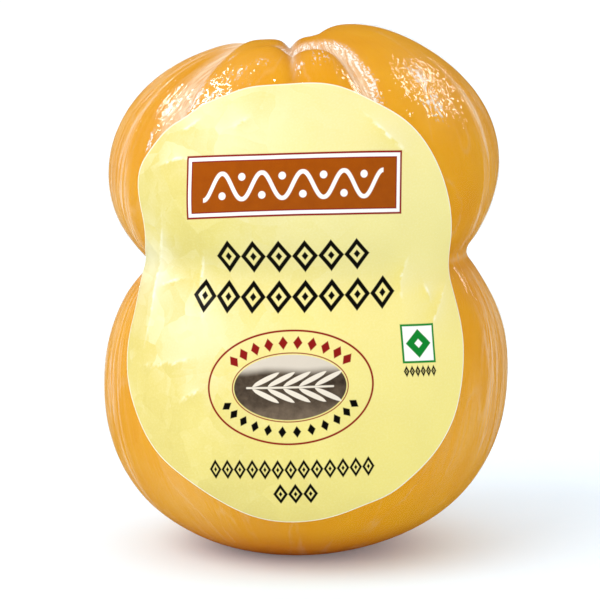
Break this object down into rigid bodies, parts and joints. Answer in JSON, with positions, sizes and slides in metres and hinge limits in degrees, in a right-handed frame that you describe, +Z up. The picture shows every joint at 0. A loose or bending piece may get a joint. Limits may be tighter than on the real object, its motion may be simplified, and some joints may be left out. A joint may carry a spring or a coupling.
{
  "type": "smoked scamorza",
  "caption": "Smoked scamorza cheese: two rounded bulges with a pinched waist and a gathered crown, in tight clear film with a curved front label.",
  "frame": {"origin": "middle of the bounding box in plan, at the bottom, where the cheese rests", "axes": "+X to the viewer's right, +Y away from the label side, +Z up along the cheese's length"},
  "size_m": [0.0732, 0.0702, 0.0946],
  "materials": {
    "wrapped_cheese": "smoked golden cheese under tight clear glossy film",
    "label": "smooth pale yellow label paper, slightly creased"
  },
  "bodies": {
    "root": {"wrapped_cheese": "wrapped_cheese", "label": "label"}
  },
  "joints": []
}
